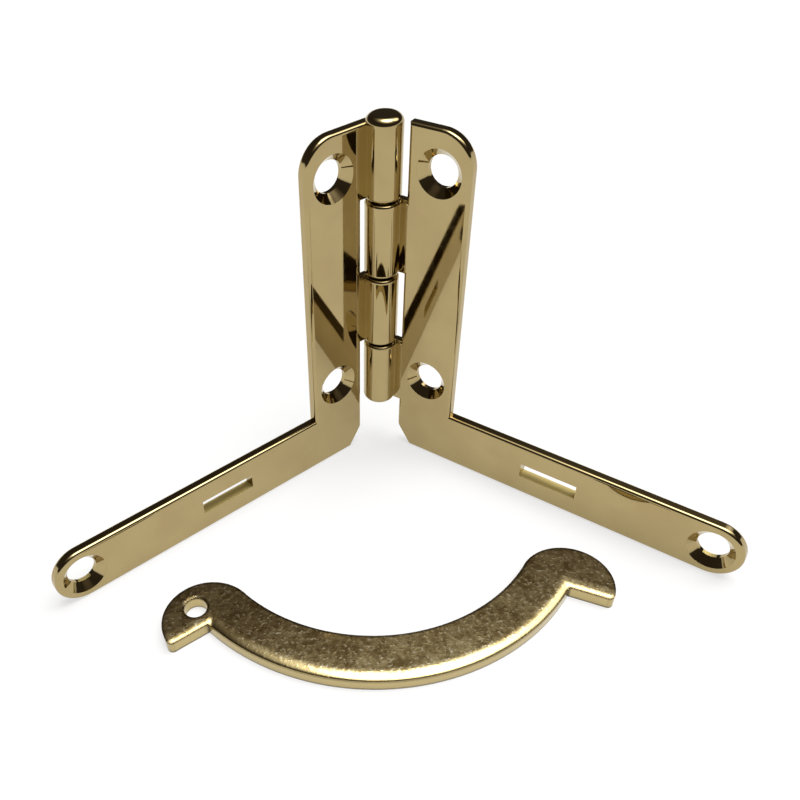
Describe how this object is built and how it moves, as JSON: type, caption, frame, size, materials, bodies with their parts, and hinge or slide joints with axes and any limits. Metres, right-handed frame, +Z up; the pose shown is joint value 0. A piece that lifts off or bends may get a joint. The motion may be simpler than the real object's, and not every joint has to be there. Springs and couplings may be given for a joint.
{
  "type": "scissor hinge",
  "caption": "Polished brass box hinge with L-shaped leaves on a knuckle barrel and a loose quadrant stay that limits the lid when threaded through the arms.",
  "frame": {"origin": "on the floor plane, at the middle of the footprint of the set as it stands in the picture", "axes": "+Z up along the hinge pin, +X from the left leaf to the right leaf, the opening faces -Y"},
  "size_m": [0.0868, 0.047, 0.0489],
  "materials": {
    "leaf_brass": "polished",
    "pin_brass": "polished",
    "stay_brass": "tumbled"
  },
  "bodies": {
    "fixed_leaf": {"left_leaf": "leaf_brass", "hinge_pin": "pin_brass"},
    "moving_leaf": {"right_leaf": "leaf_brass"},
    "loose_stay": {"quadrant_stay": "stay_brass"}
  },
  "joints": [
    {"name": "leaf_close", "type": "hinge", "parent": "fixed_leaf", "child": "moving_leaf", "pos_m": [0, 0.02123, 0], "axis": [0, 0, -1], "range_deg": [0, 105]},
    {"name": "stay_aside", "type": "slide", "parent": "fixed_leaf", "child": "loose_stay", "axis": [0, -1, 0], "range_m": [0, 0.09456]}
  ],
  "couplings": [
    {"joint": "stay_aside", "follows": "leaf_close", "m_per_rad": 0.0516}
  ]
}
